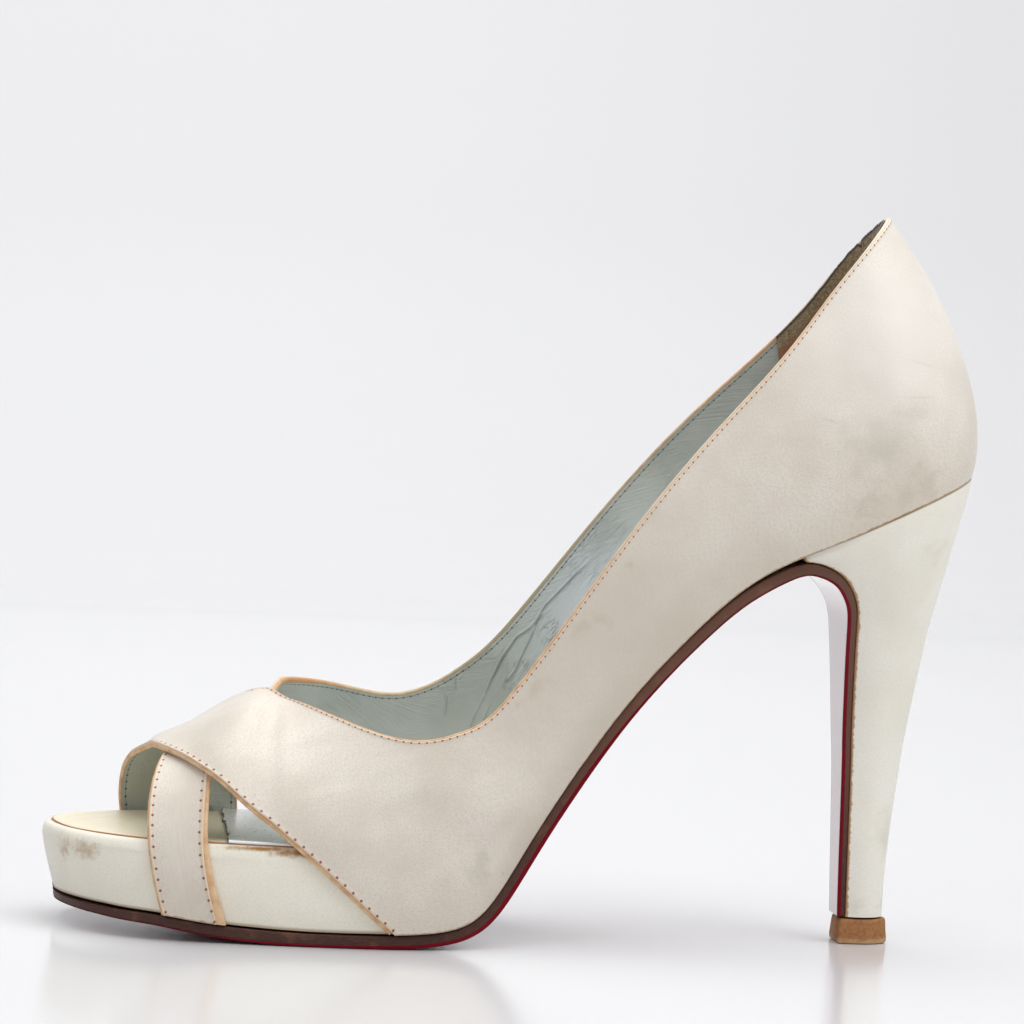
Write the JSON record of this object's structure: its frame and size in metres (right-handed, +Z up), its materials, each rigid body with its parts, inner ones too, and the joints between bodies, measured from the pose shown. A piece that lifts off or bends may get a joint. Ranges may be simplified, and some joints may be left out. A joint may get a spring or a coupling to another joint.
{
  "type": "peep toe pump",
  "caption": "Platform pump with crossed vamp straps, open toe and side cut-outs, on a tall slim covered heel with a thin curved sole.",
  "frame": {"origin": "middle of the shoe's box, at floor level", "axes": "+X to the heel, -X to the toe, -Y the outer (lateral) side, +Z up"},
  "size_m": [0.2204, 0.0802, 0.1757],
  "materials": {
    "sole_leather": "lacquered underside, stained edge",
    "platform_satin": "satin",
    "insole_leather": "smooth",
    "heel_satin": "satin",
    "top_piece_rubber": "matt",
    "upper_satin": "satin"
  },
  "bodies": {
    "root": {"outsole": "sole_leather", "platform": "platform_satin", "insole": "insole_leather", "heel": "heel_satin", "top_piece": "top_piece_rubber", "upper": "upper_satin"}
  },
  "joints": []
}
